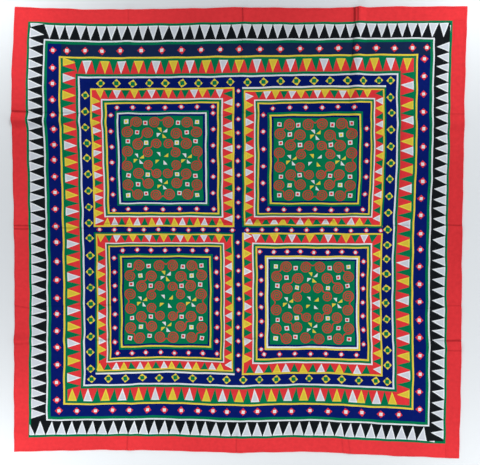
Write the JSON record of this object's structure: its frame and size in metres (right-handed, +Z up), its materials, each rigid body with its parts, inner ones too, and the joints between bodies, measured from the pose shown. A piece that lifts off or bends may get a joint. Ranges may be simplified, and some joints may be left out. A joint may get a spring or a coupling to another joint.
{
  "type": "ralli quilt",
  "caption": "Square patchwork ralli quilt of dyed cotton laid flat, with blocks of spiral discs framed by bands of diamonds, triangles and saw teeth inside a red border.",
  "frame": {"origin": "middle of the laid quilt's outline box, on the surface it lies on", "axes": "+X to the right and +Y to the top edge of the quilt seen from above, +Z up out of its patterned face"},
  "size_m": [2.1297, 2.1108, 0.0189],
  "materials": {
    "red_cotton": "matte",
    "green_cotton": "matte",
    "white_cotton": "matte",
    "black_cotton": "matte",
    "navy_cotton": "matte",
    "faded_navy_cotton": "matte",
    "yellow_cotton": "matte"
  },
  "bodies": {
    "root": {"border_left": "red_cotton", "border_top": "red_cotton", "border_right": "red_cotton", "border_bottom": "red_cotton", "saw_band_left": "black_cotton", "saw_band_top": "black_cotton", "saw_band_right": "black_cotton", "saw_band_bottom": "black_cotton", "diamond_band_left": "navy_cotton", "diamond_band_top": "faded_navy_cotton", "diamond_band_right": "navy_cotton", "diamond_band_bottom": "navy_cotton", "triangle_band_left": "green_cotton", "triangle_band_top": "green_cotton", "triangle_band_right": "green_cotton", "triangle_band_bottom": "green_cotton", "inner_band_left": "navy_cotton", "inner_band_top": "navy_cotton", "inner_band_right": "navy_cotton", "inner_band_bottom": "navy_cotton", "sash_up": "navy_cotton", "sash_left": "navy_cotton", "sash_right": "navy_cotton", "nw_teeth_left": "red_cotton", "nw_teeth_top": "red_cotton", "nw_teeth_right": "red_cotton", "nw_teeth_bottom": "red_cotton", "nw_diamonds_left": "navy_cotton", "nw_diamonds_top": "navy_cotton", "nw_diamonds_right": "navy_cotton", "nw_diamonds_bottom": "navy_cotton", "nw_field": "green_cotton", "ne_teeth_left": "red_cotton", "ne_teeth_top": "red_cotton", "ne_teeth_right": "red_cotton", "ne_teeth_bottom": "red_cotton", "ne_diamonds_left": "navy_cotton", "ne_diamonds_top": "navy_cotton", "ne_diamonds_right": "navy_cotton", "ne_diamonds_bottom": "navy_cotton", "ne_field": "green_cotton", "sw_teeth_left": "red_cotton", "sw_teeth_top": "red_cotton", "sw_teeth_right": "red_cotton", "sw_teeth_bottom": "red_cotton", "sw_diamonds_left": "navy_cotton", "sw_diamonds_top": "navy_cotton", "sw_diamonds_right": "navy_cotton", "sw_diamonds_bottom": "navy_cotton", "sw_field": "green_cotton", "se_teeth_left": "red_cotton", "se_teeth_top": "red_cotton", "se_teeth_right": "red_cotton", "se_teeth_bottom": "red_cotton", "se_diamonds_left": "navy_cotton", "se_diamonds_top": "navy_cotton", "se_diamonds_right": "navy_cotton", "se_diamonds_bottom": "navy_cotton", "se_field": "green_cotton"}
  },
  "joints": []
}
